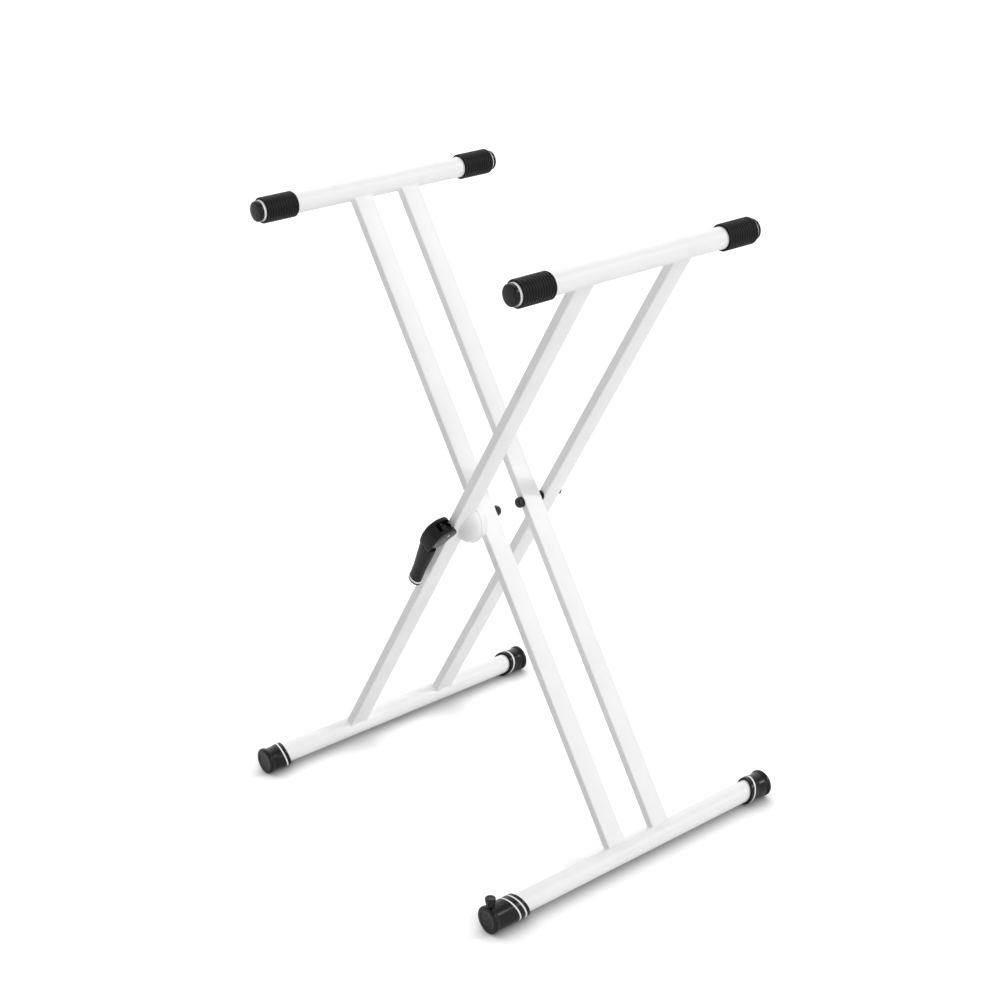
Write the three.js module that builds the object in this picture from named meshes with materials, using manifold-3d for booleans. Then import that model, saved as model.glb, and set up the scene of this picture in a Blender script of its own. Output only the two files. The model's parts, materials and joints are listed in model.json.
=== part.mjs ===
// Folding keyboard stand with double braces, standing at its full height.
//
// Millimetres, +Z up. X runs from the left base tube to the right one, Y along the tubes, and the
// lock lever is at the front, -Y. The origin is on the floor under the middle of the whole stand.
// The outer frame holds the left base tube and the right support tube; the inner frame holds the
// right base tube and the left support tube. They cross at one pivot line along Y.

import * as THREE from "three";
import { mergeVertices } from "three/addons/utils/BufferGeometryUtils.js";
import Module from "manifold-3d";

const wasm = await Module();
wasm.setup();

// ------------------------------------------------------------------ driving dimensions

// Frames
const legLower = 564; // along a brace, from the pivot to the base tube's axis
const legUpper = 550; // along a brace, from the pivot to the support tube's axis
const legLean = THREE.MathUtils.degToRad(32.5); // lean of each brace from upright
const tubeRadius = 16.5;
const tubeWall = 1.5;
const baseLength = 568; // a base with its two plain caps
const supportLength = 454; // bare support tube
const braceWidth = 35; // along Y
const braceDepth = 15; // across the brace, in the plane of the X
const braceWall = 1.2;
const braceSpan = 188; // outer braces, middle to middle
const lockGap = 20; // between the two front braces
const spacerGap = 5; // between the two rear braces

// Clearances
const seat = 0.3; // where one piece seats on another
const weldGap = 0.45; // root gap of a weld round a tube

// Plain base caps
const capLength = 43.5;
const capFlange = 22; // radius of the flange that stands on the floor
const capFlangeWidth = 7;
const capWaist = 19.5; // radius behind the flange
const capLip = 20.8; // radius round the rings
const capFlare = 8; // length over which the waist widens to the lip
const capFloor = 6.5; // end wall
const capRound = 2.2; // edge of the flange
const capSlant = 0.36; // the rings and the inner end lean outwards by this slope on the braces' side
const bandWidth = 2.8; // white ring
const bandDepth = 1.8; // groove under the ring
const bandProud = 0.3;
const bandInset = 8; // middle of the ring, from the cap's inner end

// Levelling cap
const levelLength = 63;
const levelWaist = 20.6;
const levelOverhang = 21.5; // how far it reaches past a plain cap
const levelBandPitch = 11.5; // between its two rings
const screwInset = 8.5; // screw's axis, from the cap's outer end
const screwRadius = 3;
const footRadius = 4.8;
const footTravel = 6;
const floorClearance = 0.5; // under the retracted foot
const knobRadius = 8.5;
const knobHeight = 14;
const knobNeck = 4.2; // radius
const knobTop = 4; // moulding above the screw's end
const footPocket = 16; // height of the foot's pocket above the foot's underside
const footFloor = 4; // thickness of the foot under the screw
const collarHeight = 1.5; // of the screw's collar
const knobSink = 3.2; // depth of its neck in the cap

// Rubber sleeves and plugs on the support tubes
const sleeveLength = 58.5;
const sleeveRadius = 20.3;
const sleeveInset = 3.5; // bare tube outside the sleeve
const grooveCount = 7;
const grooveDepth = 1.1;
const grooveWidth = 2.4;
const plugHead = 7; // thickness of the visible head
const plugRound = 2;
const plugStem = 16;

// Pivots
const rodRadius = 4;
const rodClearance = 0.4;
const pivotSleeveWall = 1.2;
const nutFlats = 15; // across flats
const nutHeight = 7;
const threadEnd = 1.5; // thread that shows past a nut
const washerThickness = 1.6;
const washerRadius = 8.5;
const boltHead = 8; // radius
const boltHeadHeight = 4;

// Lock between the front braces
const plateRadius = 35.5;
const plateThickness = 4;
const plateRim = 1.5; // left flat round the dome
const plateDome = 20; // by which the plate bulges beside the brace, on its far side only
const plateFlat = 28; // from the pivot to the edge cut flat on the near side
const drumRadius = 32;
const drumThickness = 11.4;
const drumBoss = 20; // radius
const drumFloor = 2.7;
const liningInner = 18;
const liningOuter = 29;
const liningThickness = 3;
const plateToDrum = 1; // running gap at the rim
const springRadius = 9.5; // of the coil's middle
const springWire = 2;
const springTurns = 3;
const springWell = 12.5; // radius of the well it stands in

// Lever
const bearingRadius = 12; // washer under the cams
const camRadius = 8.6; // lever closed
const camLift = 1.5; // by which the lever lets the rod go when it is open
const eyeRadius = 6.8;
const eyeWidth = 10.6;
const pinRadius = 3;
const forkWidth = 29;
const forkSlotClearance = 0.5; // each side of the eye
const forkBack = 23; // from the pin to the fork's outer face
const forkHeel = 30; // from the pin down to where the grip starts
const forkThroat = 2; // neck's inner side outside the pin, where it turns in to the handle
const forkThroatDrop = 18; // from the pin down to that turn
const forkCorner = 6;
const forkNeck = 1; // the heel's width, as a share of the tines'
const leverLength = 125; // from the pin to the end of the handle
const handleOffset = 17.7; // handle's axis outside the pin, at the heel
const handleTilt = THREE.MathUtils.degToRad(5.3); // handle closes in on the brace towards its end
const handleWide = 1.16; // the round section is widened across and flattened
const handleFlat = 0.86;
const coreRadius = 7;
const gripTop = 13; // radius at the heel
const gripEnd = 10.2; // radius at the end
const leverEnd = 11; // radius of the ring and of the end cap
const leverRound = 2; // of the grip's start and of the end cap
const ringWidth = 3.4;
const leverCap = 4.2; // thickness
const capSpigot = 3; // radius
const spigotLength = 10;

// Facets of round pieces. Each is a multiple of four, so that a flat faces straight down.
const sides = 24;
const sleeveSides = 16;
const smallSides = 12;
const hexSides = 6;

// ------------------------------------------------------------------ worked out from them

const axisHeight = capFlange; // base tube's axis above the floor
const pivotHeight = axisHeight + legLower * Math.cos(legLean);
const baseReach = legLower * Math.sin(legLean);
const supportReach = legUpper * Math.sin(legLean);
const supportHeight = pivotHeight + legUpper * Math.cos(legLean);
const tubeBore = tubeRadius - tubeWall;
const baseTubeLength = baseLength - 2 * (capFloor + seat);

const outerBraceY = braceSpan / 2;
const innerFrontY = -outerBraceY + braceWidth + lockGap;
const innerRearY = outerBraceY - braceWidth - spacerGap;
const frontFaceY = -outerBraceY - braceWidth / 2; // outer brace's face under the lever
const lockFaceY = -outerBraceY + braceWidth / 2; // the same brace's face under the lock plate

const pivotSleeveRadius = rodRadius + rodClearance + pivotSleeveWall;
const washerY = frontFaceY - seat - washerThickness; // outer face of the lever's washer
const pinY = washerY - seat - camRadius;
const middleY = levelOverhang / 2; // puts the origin under the middle of the stand

// ------------------------------------------------------------------ materials

function finish(color, roughness, metalness) {
  return new THREE.MeshStandardMaterial({ color, roughness, metalness });
}

const whitePowder = finish(0xf2f2f1, 0.45, 0);
const whiteBand = finish(0xf4f4f2, 0.5, 0);
const blackMoulding = finish(0x1c1c1d, 0.45, 0);
const blackRubber = finish(0x151516, 0.75, 0);
const blackSteel = finish(0x1a1a1b, 0.4, 0.6);
const plainSteel = finish(0x9a9c9e, 0.35, 1);
const liningGrey = finish(0x3a3733, 0.9, 0);

// ------------------------------------------------------------------ making solids

// A geometry with shared vertices and no empty triangles.
function closed(geometry) {
  geometry.deleteAttribute("normal");
  geometry.deleteAttribute("uv");
  const merged = mergeVertices(geometry, 1e-4);
  const corners = merged.index.array;
  const kept = [];
  for (let i = 0; i < corners.length; i += 3) {
    const [a, b, c] = corners.subarray(i, i + 3);
    if (a !== b && b !== c && c !== a) kept.push(a, b, c);
  }
  merged.setIndex(kept);
  return merged;
}

function toSolid(geometry) {
  const whole = closed(geometry);
  const mesh = new wasm.Mesh({
    numProp: 3,
    vertProperties: whole.attributes.position.array,
    triVerts: new Uint32Array(whole.index.array),
  });
  return new wasm.Manifold(mesh);
}

function toGeometry(solid) {
  const mesh = solid.getMesh();
  const geometry = new THREE.BufferGeometry();
  geometry.setAttribute("position", new THREE.BufferAttribute(mesh.vertProperties, 3));
  geometry.setIndex(new THREE.BufferAttribute(mesh.triVerts, 1));
  return geometry;
}

// Cuts each of the tools out of the body.
function cut(body, ...tools) {
  return toGeometry(tools.reduce((left, tool) => left.subtract(toSolid(tool)), toSolid(body)));
}

function join(...bodies) {
  return toGeometry(bodies.map(toSolid).reduce((whole, body) => whole.add(body)));
}

// A profile of [radius, y] turned round Y. Its flats lie at the given radius.
function turned(profile, facets = sides) {
  const toCorner = 1 / Math.cos(Math.PI / facets);
  const points = profile.map(([radius, y]) => new THREE.Vector2(radius * toCorner, y));
  return closed(new THREE.LatheGeometry(points, facets, Math.PI / facets));
}

function rod(radius, start, end, facets = smallSides) {
  return turned([[0, start], [radius, start], [radius, end], [0, end]], facets);
}

function hoop(inner, outer, start, end, facets = sides) {
  return turned([[inner, start], [outer, start], [outer, end], [inner, end], [inner, start]], facets);
}

// Turns a piece made along Y so that it stands along Z, its start at the bottom.
function upright(geometry) {
  return geometry.rotateX(Math.PI / 2);
}

function place(parent, name, geometry, material, x = 0, y = 0, z = 0) {
  const mesh = new THREE.Mesh(geometry, material);
  mesh.name = name;
  mesh.position.set(x, y, z);
  parent.add(mesh);
  return mesh;
}

// Puts a piece that is made from its outer end inwards on the front or the rear end of a tube.
function placeEnd(parent, name, geometry, material, x, z, halfLength, rear) {
  const mesh = place(parent, name, geometry, material, x, rear ? halfLength : -halfLength, z);
  if (rear) mesh.rotation.z = Math.PI;
  return mesh;
}

// ------------------------------------------------------------------ tubes and braces

function tube(length) {
  return hoop(tubeBore, tubeRadius, -length / 2, length / 2);
}

// Rectangular tube along Z, hollowed to sit on both round tubes, with the pivot's hole along Y.
function brace() {
  const length = legLower + legUpper;
  const middle = (legUpper - legLower) / 2;
  const outside = new THREE.BoxGeometry(braceDepth, braceWidth, length).translate(0, 0, middle);
  const inside = new THREE.BoxGeometry(braceDepth - 2 * braceWall, braceWidth - 2 * braceWall, length + braceDepth);
  const saddle = () => rod(tubeRadius + weldGap, -braceWidth, braceWidth, sides);
  return cut(
    outside,
    inside.translate(0, 0, middle),
    saddle().translate(0, 0, -legLower),
    saddle().translate(0, 0, legUpper),
    rod(pivotSleeveRadius + seat, -braceWidth, braceWidth),
  );
}

function pivotSleeve() {
  return hoop(rodRadius + rodClearance, pivotSleeveRadius, -braceWidth / 2, braceWidth / 2, smallSides);
}

// ------------------------------------------------------------------ base caps

// The groove for a white ring, as profile points going inwards along the cap.
function bandGroove(middle) {
  const half = bandWidth / 2 + seat;
  const bottom = capLip - bandDepth;
  return [[capLip, middle - half], [bottom, middle - half], [bottom, middle + half], [capLip, middle + half]];
}

function band(middle) {
  const inner = capLip - bandDepth + seat;
  return hoop(inner, capLip + bandProud, middle - bandWidth / 2, middle + bandWidth / 2);
}

// The flare starts this far from the cap's outer end.
function flareStart(bands) {
  return bands[0] - bandWidth - capFlare;
}

// Outer side of a cap from its outer end: the flange, the waist, then the lip with its grooves.
function capSide(length, waist, bands) {
  return [
    [0, 0],
    [capFlange - capRound, 0],
    [capFlange, capRound],
    [capFlange, capFlangeWidth - capRound / 2],
    [waist, capFlangeWidth + capRound / 2],
    [waist, flareStart(bands)],
    [capLip, flareStart(bands) + capFlare],
    ...bands.flatMap(bandGroove),
    [capLip, length],
  ];
}

// Shears everything from the given distance on, so that it leans outwards on the braces' side.
// towardsX is the side, in the piece's own frame, to which the braces rise from their base tube.
function slanted(geometry, start, towardsX) {
  const position = geometry.attributes.position;
  const alongX = capSlant * Math.sin(legLean) * towardsX;
  const alongZ = capSlant * Math.cos(legLean);
  for (let i = 0; i < position.count; i += 1) {
    const y = position.getY(i);
    const shift = alongX * position.getX(i) + alongZ * position.getZ(i);
    if (y >= start) position.setY(i, y - shift);
  }
  return geometry;
}

const plainBandY = capLength - bandInset;

function plainCap() {
  const bore = tubeRadius + seat;
  const side = capSide(capLength, capWaist, [plainBandY]);
  return turned([...side, [bore, capLength], [bore, capFloor], [0, capFloor]]);
}

// ------------------------------------------------------------------ levelling cap and its foot

const levelInnerBandY = levelLength - bandInset;
const levelOuterBandY = levelInnerBandY - levelBandPitch;
const levelBands = [levelOuterBandY, levelInnerBandY];
const levelTubeEnd = levelOverhang + capFloor; // depth of the bore's floor
const coreFloor = screwInset + footRadius + 3 * tubeWall; // floor of the lightening core behind it
const footBottom = floorClearance - axisHeight; // heights here are from the tube's axis
const pocketTop = footBottom + footPocket;
const collarBottom = pocketTop - seat - collarHeight;
const footTop = collarBottom - seat;
const screwBottom = footBottom + footFloor;
const knobBottom = capFlange + seat;
const screwTop = knobBottom + knobHeight - knobTop;

function levellingCap(towardsX) {
  const bore = tubeRadius + seat;
  const core = tubeBore - seat;
  const shell = turned([
    ...capSide(levelLength, levelWaist, levelBands),
    [bore, levelLength],
    [bore, levelTubeEnd],
    [core, levelTubeEnd],
    [core, coreFloor],
    [0, coreFloor],
  ]);
  const pocket = upright(rod(footRadius + seat, -pocketTop, capFlange + seat));
  const screwHole = upright(rod(screwRadius + seat, -capFlange, capFlange));
  const neckHole = upright(rod(knobNeck + seat, -capFlange - seat, knobSink - capFlange));
  const tools = [pocket, screwHole, neckHole].map((tool) => tool.rotateX(Math.PI).translate(0, screwInset, 0));
  return cut(slanted(shell, flareStart(levelBands), towardsX), ...tools);
}

// The three pieces below stand along Z with the tube's axis at height 0.
function levellingKnob() {
  const neckBottom = capFlange - knobSink + seat;
  const top = knobBottom + knobHeight;
  const edge = 1.5;
  const bore = screwRadius + seat;
  return upright(turned([
    [bore, neckBottom],
    [knobNeck, neckBottom],
    [knobNeck, knobBottom],
    [knobRadius - edge, knobBottom],
    [knobRadius, knobBottom + edge],
    [knobRadius, top - edge],
    [knobRadius - edge, top],
    [0, top],
    [0, screwTop + seat],
    [bore, screwTop + seat],
    [bore, neckBottom],
  ], sleeveSides));
}

function levellingScrew() {
  const collar = footRadius - seat;
  return upright(turned([
    [0, screwBottom],
    [screwRadius, screwBottom],
    [screwRadius, collarBottom],
    [collar, collarBottom],
    [collar, collarBottom + collarHeight],
    [screwRadius, collarBottom + collarHeight],
    [screwRadius, screwTop],
    [0, screwTop],
  ], smallSides));
}

function levellingFoot() {
  const bore = screwRadius + seat;
  const round = 0.8;
  return upright(turned([
    [0, footBottom],
    [footRadius - round, footBottom],
    [footRadius, footBottom + round],
    [footRadius, footTop],
    [bore, footTop],
    [bore, screwBottom - seat],
    [0, screwBottom - seat],
  ], smallSides));
}

// ------------------------------------------------------------------ sleeves and plugs

function supportSleeve() {
  const land = (sleeveLength - grooveCount * grooveWidth) / (grooveCount + 1);
  const side = [[sleeveRadius, 0]];
  for (let i = 1; i <= grooveCount; i += 1) {
    const start = i * land + (i - 1) * grooveWidth;
    side.push([sleeveRadius, start]);
    side.push([sleeveRadius - grooveDepth, start + grooveWidth / 2]);
    side.push([sleeveRadius, start + grooveWidth]);
  }
  side.push([sleeveRadius, sleeveLength]);
  const bore = tubeRadius + seat;
  return turned([[bore, 0], ...side, [bore, sleeveLength], [bore, 0]], sleeveSides);
}

function tubePlug() {
  const head = tubeRadius - seat;
  const stem = tubeBore - seat;
  return turned([
    [0, 0],
    [head - plugRound, 0],
    [head, plugRound],
    [head, plugHead],
    [stem, plugHead],
    [stem, plugHead + plugStem],
    [0, plugHead + plugStem],
  ]);
}

// ------------------------------------------------------------------ lock and pivots

// The lock's pieces are measured along Y from the outer brace's inner face.
const plateBack = seat;
const plateFront = plateBack + plateThickness;
const drumBack = plateFront + plateToDrum;
const drumTop = drumBack + drumThickness;
const drumEnd = lockGap - seat;
const wellFloor = drumTop - drumFloor;

// A domed plate with a slot for the brace that it is welded to.
function lockPlate() {
  const hole = rodRadius + rodClearance;
  const rim = plateRadius - plateRim;
  const dome = [];
  for (let degrees = 75; degrees >= 0; degrees -= 15) {
    const angle = THREE.MathUtils.degToRad(degrees);
    dome.push([rim * Math.cos(angle), plateBack - plateDome * Math.sin(angle)]);
  }
  const disc = turned([
    [hole, dome[0][1]],
    ...dome,
    [plateRadius, plateBack + plateRim],
    [plateRadius, plateFront],
    [hole, plateFront],
    [hole, dome[0][1]],
  ]);
  const slotWidth = 2 * plateRadius + braceDepth / 2 + seat;
  const slot = new THREE.BoxGeometry(slotWidth, 2 * plateDome, 3 * plateRadius);
  slot.translate(braceDepth / 2 + seat - slotWidth / 2, plateBack - plateDome, 0);
  const flat = new THREE.BoxGeometry(plateRadius, 4 * plateDome, 3 * plateRadius);
  return cut(disc, slot, flat.translate(-plateFlat - plateRadius / 2, plateBack, 0));
}

function lockDrum() {
  const hole = rodRadius + rodClearance;
  const grooveFloor = plateFront + seat + liningThickness + seat;
  const round = 1;
  return turned([
    [springWell, drumBack],
    [liningInner - seat, drumBack],
    [liningInner - seat, grooveFloor],
    [liningOuter + seat, grooveFloor],
    [liningOuter + seat, drumBack],
    [drumRadius - round, drumBack],
    [drumRadius, drumBack + round],
    [drumRadius, drumTop],
    [drumBoss, drumTop],
    [drumBoss, drumEnd],
    [hole, drumEnd],
    [hole, wellFloor],
    [springWell, wellFloor],
    [springWell, drumBack],
  ]);
}

function lining() {
  const start = plateFront + seat;
  return hoop(liningInner, liningOuter, start, start + liningThickness);
}

// One smooth helix of round wire between the plate and the floor of the well.
class Coil extends THREE.Curve {
  constructor(start, end) {
    super();
    this.start = start;
    this.end = end;
  }

  getPoint(t, target = new THREE.Vector3()) {
    const angle = 2 * Math.PI * springTurns * t;
    const y = this.start + (this.end - this.start) * t;
    return target.set(springRadius * Math.cos(angle), y, springRadius * Math.sin(angle));
  }
}

function releaseSpring() {
  const start = plateFront + seat + springWire / 2;
  const end = wellFloor - seat - springWire / 2;
  const wire = new THREE.Shape().absarc(0, 0, springWire / 2, 0, 2 * Math.PI);
  const options = { steps: 12 * springTurns, extrudePath: new Coil(start, end), curveSegments: 4 };
  return closed(new THREE.ExtrudeGeometry(wire, options));
}

function nut() {
  return hoop(rodRadius + seat, nutFlats / 2, 0, nutHeight, hexSides);
}

function washer(radius, thickness = washerThickness) {
  return hoop(rodRadius + rodClearance, radius, 0, thickness, smallSides);
}

// Round-headed bolt through both rear braces; its head is at the top end.
function rearBolt(start, face) {
  const head = face + seat;
  const round = 1.5;
  return turned([
    [0, start],
    [rodRadius, start],
    [rodRadius, head],
    [boltHead, head],
    [boltHead, head + boltHeadHeight - round],
    [boltHead - round, head + boltHeadHeight],
    [0, head + boltHeadHeight],
  ], smallSides);
}

// Rod with a flat eye round the lever's pin, which lies along X.
function pullRod(end) {
  const eye = rod(eyeRadius, -eyeWidth / 2, eyeWidth / 2, sides).rotateZ(-Math.PI / 2).translate(0, pinY, 0);
  const hole = rod(pinRadius + seat, -eyeWidth, eyeWidth).rotateZ(-Math.PI / 2).translate(0, pinY, 0);
  return cut(join(eye, rod(rodRadius, pinY, end)), hole);
}

// ------------------------------------------------------------------ lever

// The lever's own frame: the pin along X at the origin, +Y towards the brace, the handle down -Z.
// Its cams shrink evenly towards the top, so the gap under them stays the same as it swings out.
function camOutline() {
  const points = [];
  for (let degrees = -60; degrees <= 90; degrees += 10) {
    const angle = THREE.MathUtils.degToRad(degrees);
    const radius = camRadius - (camLift * Math.max(degrees, 0)) / 90;
    points.push([radius * Math.cos(angle), radius * Math.sin(angle)]);
  }
  return points;
}

// Side view of the fork, extruded across its width.
function forkBlock() {
  const shape = new THREE.Shape();
  const cam = camOutline();
  shape.moveTo(...cam[0]);
  cam.slice(1).forEach((point) => shape.lineTo(...point));
  const top = camRadius - camLift - forkCorner / 3;
  shape.lineTo(forkCorner - forkBack, top);
  shape.quadraticCurveTo(-forkBack, top, -forkBack, top - forkCorner);
  const heel = gripTop * handleFlat;
  const heelAcross = heel * Math.cos(handleTilt);
  const heelRise = heel * Math.sin(handleTilt);
  shape.lineTo(-handleOffset - heelAcross, -forkHeel - heelRise);
  shape.lineTo(-handleOffset + heelAcross, -forkHeel + heelRise);
  shape.lineTo(-forkThroat, -forkThroatDrop);
  const block = new THREE.ExtrudeGeometry(shape, { depth: forkWidth, bevelEnabled: false, curveSegments: 4 });
  const across = new THREE.Matrix4().makeBasis(
    new THREE.Vector3(0, 1, 0),
    new THREE.Vector3(0, 0, 1),
    new THREE.Vector3(1, 0, 0),
  );
  block.translate(0, 0, -forkWidth / 2).applyMatrix4(across);
  const points = block.getAttribute("position");
  for (let i = 0; i < points.count; i += 1) {
    const drop = THREE.MathUtils.clamp((-points.getZ(i) - camRadius) / (forkHeel - camRadius), 0, 1);
    points.setX(i, points.getX(i) * (1 - (1 - forkNeck) * drop));
  }
  return block;
}

// A piece of the handle, made along Y and turned to run down from the heel with an oval section.
function handlePiece(geometry) {
  geometry.scale(handleWide, 1, handleFlat).rotateX(-Math.PI / 2);
  return geometry.rotateX(handleTilt).translate(0, -handleOffset, -forkHeel);
}

const handleLength = leverLength - forkHeel;
const ringStart = handleLength - leverCap - seat - ringWidth;
const gripStop = ringStart - seat;
const coreEnd = handleLength - leverCap - seat;

function leverFork() {
  const slot = eyeWidth / 2 + forkSlotClearance;
  const reach = 2 * (camRadius + forkSlotClearance);
  const floor = eyeRadius + 2;
  const opening = new THREE.BoxGeometry(2 * slot, reach + floor, reach + floor);
  opening.translate(0, (reach - floor) / 2, (reach - floor) / 2);
  const pinHole = rod(pinRadius + seat, -forkWidth, forkWidth).rotateZ(-Math.PI / 2);
  const core = handlePiece(rod(coreRadius, -forkCorner, coreEnd, sleeveSides));
  const spigotHole = handlePiece(rod(capSpigot + seat, coreEnd - spigotLength - seat, coreEnd + seat));
  return cut(join(forkBlock(), core), opening, pinHole, spigotHole);
}

function leverGrip() {
  const bore = coreRadius + seat;
  return handlePiece(turned([
    [bore, seat],
    [gripTop - leverRound, seat],
    [gripTop, seat + leverRound],
    [gripEnd, gripStop],
    [bore, gripStop],
    [bore, seat],
  ], sleeveSides));
}

function leverRing() {
  return handlePiece(hoop(coreRadius + seat, leverEnd, ringStart, ringStart + ringWidth, sleeveSides));
}

function leverEndCap() {
  return handlePiece(turned([
    [0, coreEnd - spigotLength],
    [capSpigot, coreEnd - spigotLength],
    [capSpigot, coreEnd + seat],
    [leverEnd, coreEnd + seat],
    [leverEnd, handleLength - leverRound],
    [leverEnd - leverRound, handleLength],
    [0, handleLength],
  ], sleeveSides));
}

// ------------------------------------------------------------------ assembly

const stand = new THREE.Group();
stand.position.y = middleY;

// Both frames turn about the pivot line. A brace group has Z along its braces.
function braceGroup(lean) {
  const group = new THREE.Group();
  group.position.z = pivotHeight;
  group.rotation.y = lean;
  stand.add(group);
  return group;
}

// One frame: a base tube and a support tube, with its sleeves and plugs, on opposite sides.
function frame(baseName, supportName, baseX, supportX) {
  const group = new THREE.Group();
  stand.add(group);
  place(group, `${baseName}_base_tube`, tube(baseTubeLength), whitePowder, baseX, 0, axisHeight);
  place(group, `${supportName}_support_tube`, tube(supportLength), whitePowder, supportX, 0, supportHeight);
  for (const end of ["front", "rear"]) {
    const rear = end === "rear";
    const onSupport = (part, geometry, material, outside) =>
      placeEnd(group, `${supportName}_${part}_${end}`, geometry, material, supportX, supportHeight, outside, rear);
    onSupport("sleeve", supportSleeve(), blackRubber, supportLength / 2 - sleeveInset);
    onSupport("plug", tubePlug(), blackMoulding, supportLength / 2 + seat + plugHead);
  }
  return group;
}

function baseCap(group, side, baseX, end) {
  const rear = end === "rear";
  const towardsX = rear ? Math.sign(baseX) : -Math.sign(baseX);
  const start = flareStart([plainBandY]);
  const onBase = (part, geometry, material) => {
    const name = `${side}_base_${part}_${end}`;
    placeEnd(group, name, slanted(geometry, start, towardsX), material, baseX, axisHeight, baseLength / 2, rear);
  };
  onBase("cap", plainCap(), blackMoulding);
  onBase("ring", band(plainBandY), whiteBand);
}

// Outer frame
const outerFrame = frame("left", "right", -baseReach, supportReach);
baseCap(outerFrame, "left", -baseReach, "front");
baseCap(outerFrame, "left", -baseReach, "rear");

const outerBraces = braceGroup(legLean);
place(outerBraces, "outer_front_brace", brace(), whitePowder, 0, -outerBraceY);
place(outerBraces, "outer_rear_brace", brace(), whitePowder, 0, outerBraceY);
place(outerBraces, "outer_front_pivot_sleeve", pivotSleeve(), plainSteel, 0, -outerBraceY);
place(outerBraces, "outer_rear_pivot_sleeve", pivotSleeve(), plainSteel, 0, outerBraceY);
place(outerBraces, "lock_plate", lockPlate(), whitePowder, 0, lockFaceY);
place(outerBraces, "release_spring", releaseSpring(), plainSteel, 0, lockFaceY);

const innerRearFace = innerRearY - braceWidth / 2;
const rearNutY = innerRearFace - 2 * seat - washerThickness - nutHeight;
place(outerBraces, "rear_pivot_bolt", rearBolt(rearNutY - threadEnd, outerBraceY + braceWidth / 2), blackSteel);
place(outerBraces, "rear_pivot_nut", nut(), blackSteel, 0, rearNutY);
place(outerBraces, "rear_pivot_washer", washer(washerRadius), blackSteel, 0, rearNutY + nutHeight + seat);
const spacer = washer(washerRadius, spacerGap - 2 * seat);
place(outerBraces, "rear_pivot_spacer", spacer, blackMoulding, 0, innerRearY + braceWidth / 2 + seat);

// Inner frame
const innerFrame = frame("right", "left", baseReach, -supportReach);
baseCap(innerFrame, "right", baseReach, "rear");

const innerBraces = braceGroup(-legLean);
place(innerBraces, "inner_front_brace", brace(), whitePowder, 0, innerFrontY);
place(innerBraces, "inner_rear_brace", brace(), whitePowder, 0, innerRearY);
place(innerBraces, "inner_front_pivot_sleeve", pivotSleeve(), plainSteel, 0, innerFrontY);
place(innerBraces, "inner_rear_pivot_sleeve", pivotSleeve(), plainSteel, 0, innerRearY);
place(innerBraces, "lock_drum", lockDrum(), whitePowder, 0, lockFaceY);
place(innerBraces, "lock_lining", lining(), liningGrey, 0, lockFaceY);

// Levelling cap on the front end of the right base
const levelHalf = baseLength / 2 + levelOverhang;
const screwY = screwInset - levelHalf;
const levelEnd = (name, geometry, material) =>
  placeEnd(innerFrame, name, geometry, material, baseReach, axisHeight, levelHalf, false);
levelEnd("levelling_cap", levellingCap(-1), blackMoulding);
levelEnd("levelling_ring_outer", slanted(band(levelOuterBandY), 0, -1), whiteBand);
levelEnd("levelling_ring_inner", slanted(band(levelInnerBandY), 0, -1), whiteBand);
place(innerFrame, "levelling_knob", levellingKnob(), blackMoulding, baseReach, screwY, axisHeight);
place(innerFrame, "levelling_screw", levellingScrew(), plainSteel, baseReach, screwY, axisHeight);
place(innerFrame, "levelling_foot", levellingFoot(), blackMoulding, baseReach, screwY, axisHeight);

// Pull rod, through the lock and both front braces, with its nut on the inner brace
const innerFrontFace = innerFrontY + braceWidth / 2;
const frontNutY = innerFrontFace + 2 * seat + washerThickness;
place(outerBraces, "pull_rod", pullRod(frontNutY + nutHeight + threadEnd), blackSteel);
place(outerBraces, "front_pivot_nut", nut(), blackSteel, 0, frontNutY);
place(outerBraces, "front_pivot_washer", washer(washerRadius), blackSteel, 0, innerFrontFace + seat);
place(outerBraces, "lever_washer", washer(bearingRadius), blackSteel, 0, washerY);

// Lever, closed, with its handle down along the outer brace
const lever = new THREE.Group();
lever.position.y = pinY;
outerBraces.add(lever);
const pinLength = forkWidth - 2 * seat;
place(lever, "lever_fork", leverFork(), blackMoulding);
place(lever, "lever_pin", rod(pinRadius, -pinLength / 2, pinLength / 2).rotateZ(-Math.PI / 2), plainSteel);
place(lever, "lever_grip", leverGrip(), blackRubber);
place(lever, "lever_ring", leverRing(), whiteBand);
place(lever, "lever_end_cap", leverEndCap(), blackMoulding);

export default stand;
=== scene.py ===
# Folding keyboard stand, standing open at its full height, photographed in a white studio.

import json
from math import cos, pi, radians, sin, sqrt

import bmesh
import bpy
from mathutils import Matrix, Vector


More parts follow.
